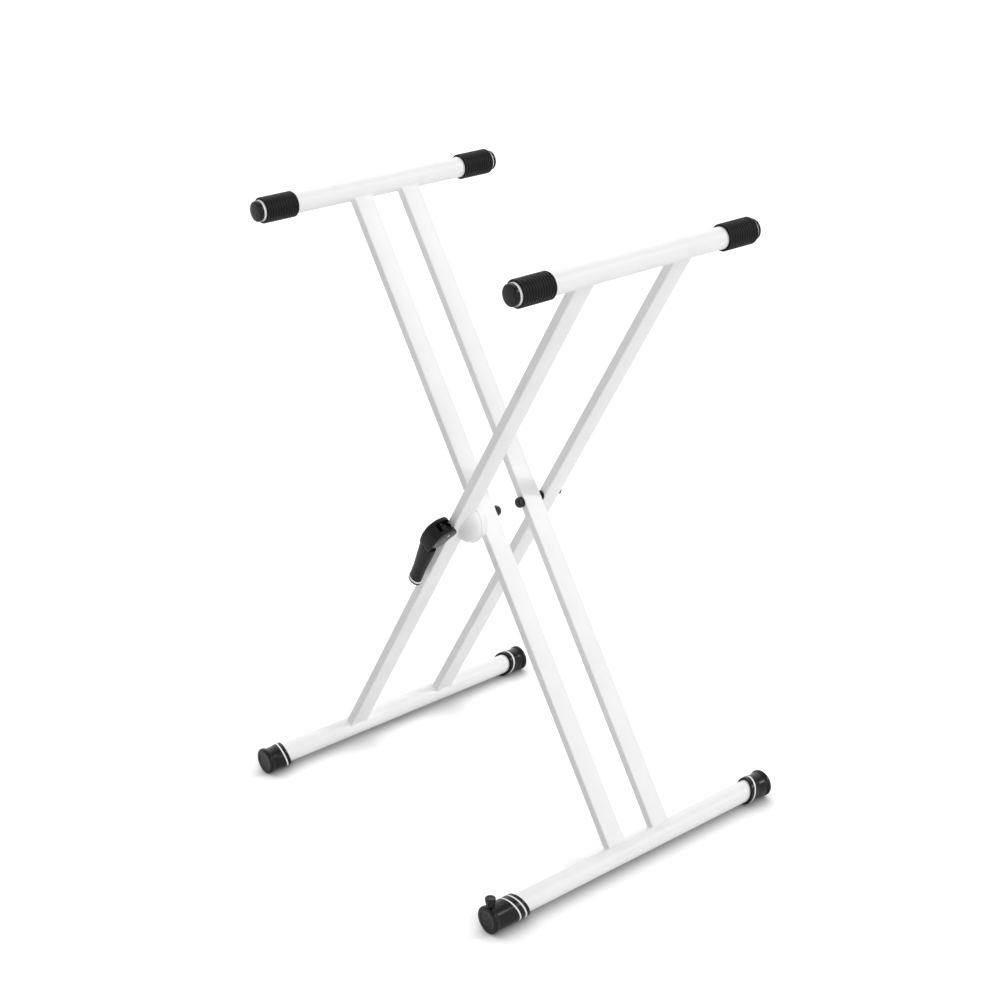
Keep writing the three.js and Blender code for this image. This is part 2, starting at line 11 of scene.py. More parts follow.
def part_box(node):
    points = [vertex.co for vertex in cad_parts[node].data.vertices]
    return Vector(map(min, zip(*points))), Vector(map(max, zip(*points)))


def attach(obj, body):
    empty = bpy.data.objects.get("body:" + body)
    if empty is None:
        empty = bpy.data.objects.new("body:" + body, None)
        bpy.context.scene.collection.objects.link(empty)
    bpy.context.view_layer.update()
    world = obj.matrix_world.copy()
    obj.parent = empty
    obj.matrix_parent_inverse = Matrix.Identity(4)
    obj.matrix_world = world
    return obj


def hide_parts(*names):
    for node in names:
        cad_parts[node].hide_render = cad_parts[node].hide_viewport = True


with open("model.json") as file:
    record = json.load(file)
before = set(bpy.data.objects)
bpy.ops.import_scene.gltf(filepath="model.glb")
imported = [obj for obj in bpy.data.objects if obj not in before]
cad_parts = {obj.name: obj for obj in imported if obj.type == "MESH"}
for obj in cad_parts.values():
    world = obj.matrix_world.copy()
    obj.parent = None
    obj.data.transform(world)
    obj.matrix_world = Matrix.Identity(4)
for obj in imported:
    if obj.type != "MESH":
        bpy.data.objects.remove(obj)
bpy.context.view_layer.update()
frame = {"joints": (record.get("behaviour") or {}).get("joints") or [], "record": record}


# ---------------------------------------------------------------- camera

# A lens of about 75 mm, above head height and to the right of the lock lever, 3.5 m away. The
# photograph is square and very slightly tilted.
camera_azimuth = radians(50.05)
camera_elevation = radians(22.9)
camera_roll = radians(-1.2)
camera_lens = 74.75
camera_place = Vector((2.2933, -1.9189, 1.7773))

camera_data = bpy.data.cameras.new("studio_camera")
camera_data.lens = camera_lens
camera_data.sensor_width = 36
camera_data.clip_end = 100
camera = bpy.data.objects.new("studio_camera", camera_data)
bpy.context.scene.collection.objects.link(camera)
bpy.context.scene.camera = camera

backward = Vector((
    sin(camera_azimuth) * cos(camera_elevation),
    -cos(camera_azimuth) * cos(camera_elevation),
    sin(camera_elevation),
))
level = Vector((cos(camera_azimuth), sin(camera_azimuth), 0))
upward = backward.cross(level)
rolled_level = level * cos(camera_roll) + upward * sin(camera_roll)
rolled_up = upward * cos(camera_roll) - level * sin(camera_roll)
turn = Matrix((rolled_level, rolled_up, backward)).transposed()
camera.matrix_world = Matrix.Translation(camera_place) @ turn.to_4x4()


# ---------------------------------------------------------------- tubes of both frames

# Two round tubes stand on the floor and two carry the keyboard. They are welded steel tube, cut
# to length, cleaned and powder coated in white with the rest of their frame.

mm = 0.001  # the frame is in metres, and sizes are written in millimetres


def linear(hex_colour):
    """An sRGB hex colour as the linear values that a shader takes."""
    channels = [int(hex_colour[i:i + 2], 16) / 255 for i in (1, 3, 5)]
    return [c / 12.92 if c <= 0.04045 else ((c + 0.055) / 1.055) ** 2.4 for c in channels] + [1]


def add_node(owner, kind, settings=None, links=None):
    """Adds a node, with its properties or socket values, and with what is linked to its inputs."""
    node = owner.node_tree.nodes.new("ShaderNode" + kind)
    for key, value in (settings or {}).items():
        if key in node.inputs:
            node.inputs[key].default_value = value
        else:
            setattr(node, key, value)
    for socket, source in (links or {}).items():
        owner.node_tree.links.new(source, node.inputs[socket])
    return node


def new_material(name, roughness, metallic=0.0, ior=1.5, shine=0.5):
    """A material with a shader of one finish, and the place on the object in metres."""
    material = bpy.data.materials.new(name)
    material.use_nodes = True
    shader = material.node_tree.nodes["Principled BSDF"]
    shader.inputs["Roughness"].default_value = roughness
    shader.inputs["Metallic"].default_value = metallic
    shader.inputs["IOR"].default_value = ior
    shader.inputs["Specular IOR Level"].default_value = shine
    place = add_node(material, "TexCoord").outputs["Object"]
    return material, shader, place


def mottle(material, shader, place, light, dark, size):
    """Colour that drifts between two close shades over patches of the given size."""
    patches = add_node(material, "TexNoise", {"Scale": 1 / size, "Detail": 3.0}, {"Vector": place})
    ramp = add_node(material, "ValToRGB", links={"Fac": patches.outputs["Fac"]})
    darker, lighter = ramp.color_ramp.elements
    darker.position = 0.35
    lighter.position = 0.65
    darker.color = linear(dark)
    lighter.color = linear(light)
    material.node_tree.links.new(ramp.outputs["Color"], shader.inputs["Base Color"])


def grain(material, shader, place, size, height, low, high):
    """Fine relief of the given grain size and height, with a roughness that follows it."""
    speck = add_node(material, "TexNoise", {"Scale": 1 / size, "Detail": 2.0}, {"Vector": place})
    depth = speck.outputs["Fac"]
    sheen = add_node(material, "MapRange", {"To Min": low, "To Max": high}, {"Value": depth})
    relief = add_node(material, "Bump", {"Distance": height, "Strength": 1.0}, {"Height": depth})
    material.node_tree.links.new(sheen.outputs["Result"], shader.inputs["Roughness"])
    material.node_tree.links.new(relief.outputs["Normal"], shader.inputs["Normal"])


# White polyester powder coat, sprayed and baked. It is smooth and satin, with the faint orange
# peel that the melted powder leaves: waves of about 2.5 mm, a few hundredths of a millimetre high.
powder_coat, shader, place = new_material("white_powder_coat", roughness=0.42)
mottle(powder_coat, shader, place, "#f6f6f6", "#f2f2f2", size=60 * mm)
grain(powder_coat, shader, place, size=2.5 * mm, height=0.03 * mm, low=0.36, high=0.48)


crease = radians(32)  # edges sharper than this stay sharp, and all others are shaded smooth
same_place = 0.002 * mm  # corners nearer than this are one corner


def new_piece(name, shape, material, body, node=None):
    """A finished piece from a bmesh: it rides on a body and stands for a node of the frame."""
    bmesh.ops.remove_doubles(shape, verts=shape.verts, dist=same_place)
    bmesh.ops.recalc_face_normals(shape, faces=shape.faces)
    mesh = bpy.data.meshes.new(name)
    shape.to_mesh(mesh)
    shape.free()
    mesh.materials.append(material)
    mesh.polygons.foreach_set("use_smooth", [True] * len(mesh.polygons))
    mesh.set_sharp_from_angle(angle=crease)
    piece = bpy.data.objects.new(name, mesh)
    bpy.context.scene.collection.objects.link(piece)
    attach(piece, body)
    if node:
        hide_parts(node)
    return piece


arc_steps = 5  # of a rounded corner
on_axis = 0.01 * mm  # a radius below this is the axis itself


def rounded(outline):
    """An outline of (radius, distance, rounding): each corner with a rounding becomes an arc."""
    points = [Vector(point[:2]) for point in outline]
    result = []
    for i, point in enumerate(points):
        rounding = outline[i][2] if len(outline[i]) > 2 else 0
        if not rounding:
            result.append(point)
            continue
        before = (points[i - 1] - point).normalized() * rounding
        after = (points[(i + 1) % len(points)] - point).normalized() * rounding
        for step in range(arc_steps + 1):
            t = step / arc_steps
            result.append(point + before * (1 - t) ** 2 + after * t ** 2)
    return result


def lathe(outline, closed=False, sides=72):
    """Turns an outline of (radius, distance) about its own Z axis."""
    shape = bmesh.new()
    rows = []
    for radius, along in rounded(outline):
        if radius < on_axis:
            rows.append([shape.verts.new((0, 0, along))] * sides)
            continue
        angles = [2 * pi * i / sides for i in range(sides)]
        rows.append([shape.verts.new((radius * cos(a), radius * sin(a), along)) for a in angles])
    pairs = list(zip(rows, rows[1:])) + ([(rows[-1], rows[0])] if closed else [])
    for low, high in pairs:
        for i in range(sides):
            j = (i + 1) % sides
            corners = []
            for vert in (low[i], low[j], high[j], high[i]):
                if vert not in corners:
                    corners.append(vert)
            if len(corners) > 2:
                shape.faces.new(corners)
    return shape


def along_y(shape, x, y, z, inwards=1):
    """Lays a turned shape along Y, its start at the given place."""
    for vert in shape.verts:
        across, height, along = vert.co
        vert.co = (x + across, y + inwards * along, z + height)
    return shape


body_of = {node: body for body, nodes in frame["record"]["behaviour"]["bodies"].items() for node in nodes}
tube_wall = 1.5 * mm
tube_edge = 0.5 * mm  # where the burr is filed off the cut ends
round_sides = 96


def axis_of(node):
    """Middle of a node's box across Y, and the two ends of it along Y."""
    low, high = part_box(node)
    return (low.x + high.x) / 2, (low.z + high.z) / 2, low.y, high.y


def tube_radius_of(node):
    """Radius of a round node that lies along Y."""
    low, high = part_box(node)
    return (high.x - low.x) / 2


for node in ("left_base_tube", "right_base_tube", "left_support_tube", "right_support_tube"):
    x, z, start, end = axis_of(node)
    radius = tube_radius_of(node)
    length = end - start
    shape = lathe([
        (radius - tube_wall, 0),
        (radius, 0, tube_edge),
        (radius, length, tube_edge),
        (radius - tube_wall, length),
    ], closed=True, sides=round_sides)
    along_y(shape, x, start, z)
    new_piece(f"{node}_steel", shape, powder_coat, body_of[node], node)


# ---------------------------------------------------------------- braces

# Four rectangular steel tubes with rounded edges, hollowed at both ends to sit on the round
# tubes, and welded there all round. Two belong to each frame, and the pivot passes through them.

tube_radius = tube_radius_of("left_base_tube")
pivot = Vector(frame["joints"][0]["pos_m"])
brace_width = 35 * mm
brace_depth = 15 * mm
brace_edge = 2.2 * mm
saddle_overlap = 0.2 * mm  # by which a brace's end runs into its round tube
weld_throat = 2.6 * mm
weld_spread = 1.0 * mm  # by which the weld's path is wider than the brace
weld_step = 0.9 * mm
weld_sides = 8
weld_ripple = 0.07  # share of the bead's thickness
weld_wave = 2.1  # radians of the ripple from one row to the next


def frame_of(base, support):
    """Axes of one frame: across its braces, along Y, up its braces, with the pivot at 0."""
    base_x, base_z = axis_of(base)[:2]
    support_x, support_z = axis_of(support)[:2]
    up = Vector((support_x - base_x, 0, support_z - base_z)).normalized()
    across = Vector((up.z, 0, -up.x))
    placing = Matrix((across, Vector((0, 1, 0)), up)).transposed().to_4x4()
    lower = (Vector((base_x, 0, base_z)) - pivot).length
    upper = (Vector((support_x, 0, support_z)) - pivot).length
    return Matrix.Translation((0, 0, pivot.z)) @ placing, lower, upper


def rounded_rectangle(depth, width, rounding, steps=5):
    """Points round a rectangle with rounded corners, as (across, along Y)."""
    points = []
    for corner, (sx, sy) in enumerate(((1, 1), (-1, 1), (-1, -1), (1, -1))):
        for step in range(steps + 1):
            angle = pi / 2 * (corner + step / steps)
            points.append((
                sx * (depth / 2 - rounding) + rounding * cos(angle),
                sy * (width / 2 - rounding) + rounding * sin(angle),
            ))
    return points


def brace_shape(y, lower, upper):
    """Outer skin of a brace from one round tube to the other, with its ends cut to them."""
    shape = bmesh.new()
    section = rounded_rectangle(brace_depth, brace_width, brace_edge)
    rows = []
    for share in (0, 0.02, 0.25, 0.5, 0.75, 0.98, 1):
        row = []
        for across, side in section:
            saddle = sqrt(tube_radius ** 2 - across ** 2) - saddle_overlap
            low, high = -lower + saddle, upper - saddle
            row.append(shape.verts.new((across, y + side, low + share * (high - low))))
        rows.append(row)
    for low_row, high_row in zip(rows, rows[1:]):
        for i in range(len(section)):
            j = (i + 1) % len(section)
            shape.faces.new((low_row[i], low_row[j], high_row[j], high_row[i]))
    shape.faces.new(rows[0])
    shape.faces.new(rows[-1])
    return shape


def weld_bead(shape, y, distance, facing):
    """A fillet of weld all round the joint, with the ripple of the pool that laid it down."""
    depth = brace_depth + weld_spread
    width = brace_width + weld_spread
    path = rounded_rectangle(depth, width, brace_edge + weld_spread / 2, steps=8)
    dense = []
    for (ax, ay), (bx, by) in zip(path, path[1:] + path[:1]):
        parts = max(1, round(Vector((bx - ax, by - ay)).length / weld_step))
        for i in range(parts):
            t = i / parts
            dense.append((ax + (bx - ax) * t, ay + (by - ay) * t))
    rows = []
    for i, (across, side) in enumerate(dense):
        saddle = sqrt(max(tube_radius ** 2 - across ** 2, 0))
        centre = Vector((across, y + side, distance + facing * saddle))
        outwards = Vector((across, side, 0)).normalized()
        bulge = weld_throat / 2 * (1 + weld_ripple * sin(i * weld_wave))
        ring = []
        for k in range(weld_sides):
            angle = 2 * pi * k / weld_sides
            upwards = Vector((0, 0, bulge * sin(angle)))
            ring.append(shape.verts.new(centre + outwards * bulge * cos(angle) + upwards))
        rows.append(ring)
    for row, following in zip(rows, rows[1:] + rows[:1]):
        for k in range(weld_sides):
            m = (k + 1) % weld_sides
            shape.faces.new((row[k], row[m], following[m], following[k]))


outer_tubes = ("left_base_tube", "right_support_tube")
inner_tubes = ("right_base_tube", "left_support_tube")
braces = {
    "outer_front_brace": outer_tubes,
    "outer_rear_brace": outer_tubes,
    "inner_front_brace": inner_tubes,
    "inner_rear_brace": inner_tubes,
}
for node, (base, support) in braces.items():
    placing, lower, upper = frame_of(base, support)
    low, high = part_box(node)
    middle = (low.y + high.y) / 2
    shape = brace_shape(middle, lower, upper)
    bmesh.ops.transform(shape, matrix=placing, verts=shape.verts)
    new_piece(f"{node}_steel", shape, powder_coat, body_of[node], node)
    welds = bmesh.new()
    weld_bead(welds, middle, -lower, 1)
    weld_bead(welds, middle, upper, -1)
    bmesh.ops.transform(welds, matrix=placing, verts=welds.verts)
    new_piece(f"{node}_welds", welds, powder_coat, body_of[node])


# ---------------------------------------------------------------- rubber sleeves and plugs

# Ribbed sleeves of soft black rubber are pushed over both ends of the support tubes, so that the
# keyboard doesn't slip. A moulded plug closes each end, and a little bare tube shows before it.

# Moulded thermoplastic rubber: matt black with a soft grey sheen where light grazes the ribs, and
# a fine grain from the mould of about half a millimetre, drawn a little coarser so that it shows.
black_rubber, shader, place = new_material("black_rubber", roughness=0.45, shine=0.14)
mottle(black_rubber, shader, place, "#111112", "#0b0b0c", size=12 * mm)
grain(black_rubber, shader, place, size=0.9 * mm, height=0.05 * mm, low=0.42, high=0.56)

# Injection-moulded polypropylene: satin black, with the fine spark-eroded grain of its mould,
# about 0.4 mm across, drawn at twice that so that it shows.
black_moulding, shader, place = new_material("black_moulding", roughness=0.22, shine=0.18)
mottle(black_moulding, shader, place, "#0f0f10", "#0a0a0b", size=15 * mm)
grain(black_moulding, shader, place, size=0.8 * mm, height=0.02 * mm, low=0.22, high=0.32)

rib_count = 12
rib_depth = 1.0 * mm
rib_round = 0.7 * mm
sleeve_wall = 3.4 * mm
sleeve_edge = 0.4 * mm
plug_rim = 7.0 * mm  # how far the plug's full width goes into the sleeve
plug_step = 1.5 * mm

for side in ("left", "right"):
    for end in ("front", "rear"):
        node = f"{side}_sleeve_{end}"
        x, z, start, finish = axis_of(node)
        radius = tube_radius_of(node)
        length = finish - start
        pitch = length / rib_count
        outline = [(radius - sleeve_wall, 0), (radius - rib_depth, 0, sleeve_edge)]
        for rib in range(rib_count):
            foot = rib * pitch
            outline.append((radius - rib_depth, foot + 0.12 * pitch))
            outline.append((radius, foot + 0.26 * pitch, rib_round))
            outline.append((radius, foot + 0.74 * pitch, rib_round))
            outline.append((radius - rib_depth, foot + 0.88 * pitch))
        outline.append((radius - rib_depth, length, sleeve_edge))
        outline.append((radius - sleeve_wall, length))
        shape = along_y(lathe(outline, closed=True), x, start, z)
        new_piece(f"{node}_rubber", shape, black_rubber, body_of[node], node)

        plug = f"{side}_plug_{end}"
        x, z, start, finish = axis_of(plug)
        radius = tube_radius_of(plug)
        inwards = 1 if end == "front" else -1
        outline = [
            (0, 0),
            (radius * 0.5, 0.2 * mm, 2.0 * mm),
            (radius, 1.2 * mm, 2.6 * mm),
            (radius, plug_rim, 0.3 * mm),
            (radius - plug_step, plug_rim),
            (radius - plug_step - 0.1 * mm, finish - start),
            (0, finish - start),
        ]
        shape = along_y(lathe(outline), x, start if end == "front" else finish, z, inwards)
        new_piece(f"{plug}_moulding", shape, black_moulding, body_of[plug], plug)


# ---------------------------------------------------------------- base caps

# Moulded black caps push over the base tubes. Their flange stands on the floor, and their inner
# end and the white ring in it are cut aslant, leaning outwards on the braces' side.

# White ABS, moulded with a smooth satin skin, for the rings let into the black caps.
white_moulding, shader, place = new_material("white_moulding", roughness=0.4)
mottle(white_moulding, shader, place, "#f4f4f4", "#efefef", size=20 * mm)
grain(white_moulding, shader, place, size=1.2 * mm, height=0.02 * mm, low=0.34, high=0.46)

cap_flange_width = 7 * mm
cap_slant = 0.36
cap_lip = 20.8 * mm
cap_wall = 3.6 * mm
ring_width = 2.8 * mm
ring_inset = 8 * mm
ring_proud = 0.3 * mm
cap_seam = 0.3 * mm
cap_groove = 1.6 * mm
slant_blend = 6 * mm  # over which the cap goes from square to aslant
slant_lead = 11 * mm  # from there to the first ring


def cut_aslant(shape, start, base, support):
    """Leans whatever lies beyond the start outwards, on the side to which the braces rise."""
    base_x, base_z = axis_of(base)[:2]
    support_x, support_z = axis_of(support)[:2]
    up = Vector((support_x - base_x, 0, support_z - base_z)).normalized()
    for vert in shape.verts:
        across, height, along = vert.co
        share = min(max((along - start) / slant_blend + 1, 0), 1)
        share = share * share * (3 - 2 * share)
        vert.co.z = along - share * cap_slant * (across * up.x + height * up.z)
    return shape


def cap_outline(length, flange, waist, rings):
    """A cap from the middle of its outer face to its inner end, with a groove for each ring."""
    outline = [
        (0, 0.7 * mm),
        (0.6 * flange, 0.7 * mm, 1.2 * mm),
        (0.68 * flange, 0, 1.2 * mm),
        (flange, 0.5 * mm, 3.2 * mm),
        (flange, cap_flange_width - 1 * mm, 1.0 * mm),
        (waist, cap_flange_width + 2 * mm, 1.6 * mm),
        (waist, rings[0] - slant_lead, 3 * mm),
        (cap_lip, rings[0] - 3.5 * mm, 2 * mm),
    ]
    for ring in rings:
        near = ring - ring_width / 2 - cap_seam
        far = ring + ring_width / 2 + cap_seam
        outline.append((cap_lip, near, 0.3 * mm))
        outline.append((cap_lip - cap_groove, near))
        outline.append((cap_lip - cap_groove, far))
        outline.append((cap_lip, far, 0.3 * mm))
    outline.append((cap_lip, length, 1.2 * mm))
    outline.append((cap_lip - cap_wall, length, 0.4 * mm))
    outline.append((cap_lip - cap_wall, length - 3 * mm))
    return outline


def ring_shape(ring):
    """A white ring with softly rounded edges, round its own groove."""
    half = ring_width / 2
    bore = cap_lip - cap_groove + 0.3 * mm
    return lathe([
        (bore, ring - half),
        (cap_lip + ring_proud, ring - half, 0.5 * mm),
        (cap_lip + ring_proud, ring + half, 0.5 * mm),
        (bore, ring + half),
    ], closed=True, sides=round_sides)


plain_caps = {
    "left_base_cap_front": ("left_base_ring_front", outer_tubes, 1),
    "left_base_cap_rear": ("left_base_ring_rear", outer_tubes, -1),
    "right_base_cap_rear": ("right_base_ring_rear", inner_tubes, -1),
}
plain_length = 43.5 * mm
plain_waist = 19.5 * mm
for node, (ring_node, (base, support), inwards) in plain_caps.items():
    low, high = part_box(node)
    x, z = axis_of(base)[:2]
    flange = z  # the flange stands on the floor
    outer_end = low.y if inwards == 1 else high.y
    ring = plain_length - ring_inset
    shape = lathe(cap_outline(plain_length, flange, plain_waist, [ring]), sides=round_sides)
    cut_aslant(shape, ring - slant_lead, base, support)
    along_y(shape, x, outer_end, z, inwards)
    new_piece(f"{node}_moulding", shape, black_moulding, body_of[node], node)
    band = cut_aslant(ring_shape(ring), 0, base, support)
    along_y(band, x, outer_end, z, inwards)
    new_piece(f"{ring_node}_moulding", band, white_moulding, body_of[ring_node], ring_node)


# ---------------------------------------------------------------- levelling cap

# The cap on the front end of the right base is longer and carries two rings. A knurled knob on
# top of it turns a screw that lowers a small foot, so that the stand doesn't rock.

level_length = 63 * mm
level_waist = 20.6 * mm
level_rings = [43.5 * mm, 55 * mm]

x, z = axis_of("right_base_tube")[:2]
outer_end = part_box("levelling_cap")[0].y
shape = lathe(cap_outline(level_length, z, level_waist, level_rings), sides=round_sides)
cut_aslant(shape, level_rings[0] - slant_lead, *inner_tubes)
along_y(shape, x, outer_end, z)
new_piece("levelling_cap_moulding", shape, black_moulding, "inner_frame", "levelling_cap")
for node, ring in zip(("levelling_ring_outer", "levelling_ring_inner"), level_rings):
    band = cut_aslant(ring_shape(ring), 0, *inner_tubes)
    along_y(band, x, outer_end, z)
    new_piece(f"{node}_moulding", band, white_moulding, "inner_frame", node)

knob_ridges = 10
ridge_height = 0.9 * mm


def ridged(shape, ridges, height, radius, first, last):
    """Presses ridges into the rim of a turned knob between two distances along it."""
    for vert in shape.verts:
        out = Vector((vert.co.x, vert.co.y))
        if first <= vert.co.z <= last and out.length > 0.72 * radius:
            wave = 0.5 + 0.5 * cos(ridges * out.angle_signed(Vector((1, 0))))
            scale = (out.length - height * (1 - wave)) / out.length
            vert.co.x *= scale
            vert.co.y *= scale
    return shape


low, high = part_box("levelling_knob")
knob_radius = (high.x - low.x) / 2
knob_height = high.z - 2 * z
knob_neck = 4.2 * mm
shape = lathe([
    (knob_neck, -2.9 * mm),
    (knob_neck, 0.3 * mm),
    (0.8 * knob_radius, 0.3 * mm, 0.8 * mm),
    (0.86 * knob_radius, 0.32 * knob_height),
    (0.94 * knob_radius, 0.64 * knob_height),
    (knob_radius, 0.86 * knob_height, 0.8 * mm),
    (0.92 * knob_radius, knob_height, 1.0 * mm),
    (0.6 * knob_radius, knob_height, 0.6 * mm),
    (0.5 * knob_radius, knob_height - 0.5 * mm, 0.4 * mm),
    (0, knob_height - 0.5 * mm),
], sides=knob_ridges * 6)
ridged(shape, knob_ridges, ridge_height, knob_radius, 1.2 * mm, knob_height - 0.4 * mm)
knob_axis = Vector(((low.x + high.x) / 2, (low.y + high.y) / 2, 2 * z))
bmesh.ops.translate(shape, vec=knob_axis, verts=shape.verts)
new_piece("levelling_knob_moulding", shape, black_moulding, "knob", "levelling_knob")

# Bright zinc-plated steel, turned or drawn: a cool grey metal with fine turning marks a third of
# a millimetre apart, which roughen its shine.
zinc_plate, shader, place = new_material("zinc_plated_steel", roughness=0.32, metallic=1.0)
mottle(zinc_plate, shader, place, "#c9cbcd", "#b7b9bc", size=8 * mm)
grain(zinc_plate, shader, place, size=0.35 * mm, height=0.01 * mm, low=0.26, high=0.42)


thread_depth = 0.35 * mm
thread_lead = 0.6 * mm  # chamfered off the radius at each end


def threaded(radius, start, end, pitch):
    """Outline of a threaded rod: a crest and a root for each pitch."""
    outline = [(0, start), (radius - thread_lead, start)]
    turns = int((end - start) / pitch)
    for i in range(turns):
        outline.append((radius, start + (i + 0.35) * pitch))
        outline.append((radius - thread_depth, start + (i + 0.85) * pitch))
    outline.append((radius - thread_lead, end))
    outline.append((0, end))
    return outline


low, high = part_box("levelling_screw")
shape = lathe(threaded(3 * mm, low.z, high.z, 1.0 * mm), sides=32)
bmesh.ops.translate(shape, vec=(knob_axis.x, knob_axis.y, 0), verts=shape.verts)
new_piece("levelling_screw_steel", shape, zinc_plate, "knob", "levelling_screw")

low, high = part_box("levelling_foot")
foot_radius = (high.x - low.x) / 2
foot_wall = 1.4 * mm
shape = lathe([
    (0, low.z),
    (foot_radius, low.z, 0.9 * mm),
    (foot_radius, high.z, 0.4 * mm),
    (foot_radius - foot_wall, high.z),
    (foot_radius - foot_wall, high.z - 3 * mm),
], sides=48)
bmesh.ops.translate(shape, vec=(knob_axis.x, knob_axis.y, 0), verts=shape.verts)
new_piece("levelling_foot_moulding", shape, black_rubber, "foot", "levelling_foot")


# ---------------------------------------------------------------- lock between the front braces

# A pressed plate with a half dome beside the brace is welded to the outer brace, and a stepped
# drum to the inner one. The lever pulls them together on a friction lining, and a spring parts
# them when it is let go.

rod_hole = 4.4 * mm


def cut_away(piece, shape, name):
    """Cuts a shape out of a piece for good."""
    bmesh.ops.recalc_face_normals(shape, faces=shape.faces)
    mesh = bpy.data.meshes.new(name)
    shape.to_mesh(mesh)
    shape.free()
    tool = bpy.data.objects.new(name, mesh)
    bpy.context.scene.collection.objects.link(tool)
    cut = piece.modifiers.new(name, "BOOLEAN")
    cut.object = tool
    cut.operation = "DIFFERENCE"
    bpy.context.view_layer.update()
    evaluated = piece.evaluated_get(bpy.context.evaluated_depsgraph_get())
    finished = bpy.data.meshes.new_from_object(evaluated)
    piece.modifiers.clear()
    piece.data = finished
    finished.polygons.foreach_set("use_smooth", [True] * len(finished.polygons))
    finished.set_sharp_from_angle(angle=crease)
    bpy.data.objects.remove(tool)


def block(low, high):
    """A plain block between two corners, to cut with."""
    shape = bmesh.new()
    size = Vector(high) - Vector(low)
    middle = (Vector(high) + Vector(low)) / 2
    bmesh.ops.create_cube(shape, size=1, matrix=Matrix.Translation(middle) @ Matrix.Diagonal((*size, 1)))
    return shape


outer_placing = frame_of(*outer_tubes)[0]
brace_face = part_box("outer_front_brace")[1].y
plate_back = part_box("lock_plate")[1].y
plate_rim = brace_face + 0.3 * mm
plate_dome = 20 * mm  # by which the plate bulges beside the brace
plate_radius = 35.5 * mm
plate_flat = 28 * mm  # from the pivot to the edge that is cut flat behind the brace
dome_radius = plate_radius - 1.2 * mm
dome_steps = 13

outline = [(rod_hole, plate_rim - plate_dome)]
for step in range(1, dome_steps):
    angle = pi / 2 * (1 - step / dome_steps)
    outline.append((dome_radius * cos(angle), plate_rim - plate_dome * sin(angle)))
outline.append((dome_radius, plate_rim, 0.5 * mm))
outline.append((plate_radius, plate_rim + 0.8 * mm, 0.6 * mm))
outline.append((plate_radius, plate_back, 0.8 * mm))
outline.append((rod_hole, plate_back))
shape = along_y(lathe(outline, closed=True, sides=round_sides), pivot.x, 0, pivot.z)
plate = new_piece("lock_plate_steel", shape, powder_coat, "outer_frame", "lock_plate")
brace_room = brace_depth / 2 + 0.2 * mm
slot = block(
    (-plate_radius, plate_rim - 2 * plate_dome, -plate_radius),
    (brace_room, plate_rim, plate_radius),
)
bmesh.ops.transform(slot, matrix=outer_placing, verts=slot.verts)
cut_away(plate, slot, "brace_slot")
flat = block(
    (-2 * plate_radius, plate_rim - plate_dome, -plate_radius),
    (-plate_flat, 0, plate_radius),
)
bmesh.ops.transform(flat, matrix=outer_placing, verts=flat.verts)
cut_away(plate, flat, "plate_flat")

x, z, start, end = axis_of("lock_drum")
drum_radius = 32 * mm
drum_length = end - start
drum_rim = 11.4 * mm
drum_neck = 20 * mm
spring_pocket = 12.5 * mm
pocket_floor = 8.8 * mm
seat_inner = 17.7 * mm
seat_outer = 29.3 * mm
seat_floor = 2.6 * mm
shape = lathe([
    (spring_pocket, 0),
    (seat_inner, 0, 0.4 * mm),
    (seat_inner, seat_floor),
    (seat_outer, seat_floor),
    (seat_outer, 0, 0.4 * mm),
    (drum_radius, 0, 1.2 * mm),
    (drum_radius, drum_rim, 2.2 * mm),
    (drum_neck, drum_rim, 1.5 * mm),
    (drum_neck, drum_length),
    (rod_hole, drum_length),
    (rod_hole, pocket_floor),
    (spring_pocket, pocket_floor),
], closed=True, sides=round_sides)
along_y(shape, pivot.x, start, pivot.z)
new_piece("lock_drum_steel", shape, powder_coat, "inner_frame", "lock_drum")

# Pressed friction lining: dark, dull and speckled with fibre and brass dust of about 1 mm.
lining, shader, place = new_material("friction_lining", roughness=0.85)
mottle(lining, shader, place, "#5a5349", "#39352f", size=1.2 * mm)
grain(lining, shader, place, size=0.7 * mm, height=0.08 * mm, low=0.75, high=0.95)

x, z, start, end = axis_of("lock_lining")
lining_inner = seat_inner + 0.3 * mm
lining_outer = seat_outer - 0.3 * mm
lining_edge = 0.3 * mm
shape = lathe([
    (lining_inner, 0, lining_edge),
    (lining_outer, 0, lining_edge),
    (lining_outer, end - start, lining_edge),
    (lining_inner, end - start, lining_edge),
], closed=True)
along_y(shape, pivot.x, start, pivot.z)
new_piece("lock_lining_disc", shape, lining, "inner_frame", "lock_lining")

# The spring is a coil of drawn wire, wound as one swept curve.
start, end = axis_of("release_spring")[2:]
spring_wire = 2.0 * mm
spring_radius = 9.5 * mm
spring_turns = 3
coil = bpy.data.curves.new("release_spring_wire", "CURVE")
coil.dimensions = "3D"
coil.bevel_depth = spring_wire / 2
coil.bevel_resolution = 3
coil.use_fill_caps = True
spline = coil.splines.new("POLY")
steps = spring_turns * 32
spline.points.add(steps)
for i, point in enumerate(spline.points):
    angle = 2 * pi * spring_turns * i / steps
    y = start + spring_wire / 2 + (end - start - spring_wire) * i / steps
    x = pivot.x + spring_radius * cos(angle)
    z = pivot.z + spring_radius * sin(angle)
    point.co = (x, y, z, 1)
spring = bpy.data.objects.new("release_spring_wire", coil)
bpy.context.scene.collection.objects.link(spring)
coil.materials.append(zinc_plate)
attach(spring, "outer_frame")
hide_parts("release_spring")


# ---------------------------------------------------------------- rod, bolt, nuts and washers

# The front pivot is the lever's pull rod and the rear one a bolt. Both are steel with a black
# finish, run in plain steel sleeves, and end in hexagon nuts on washers.

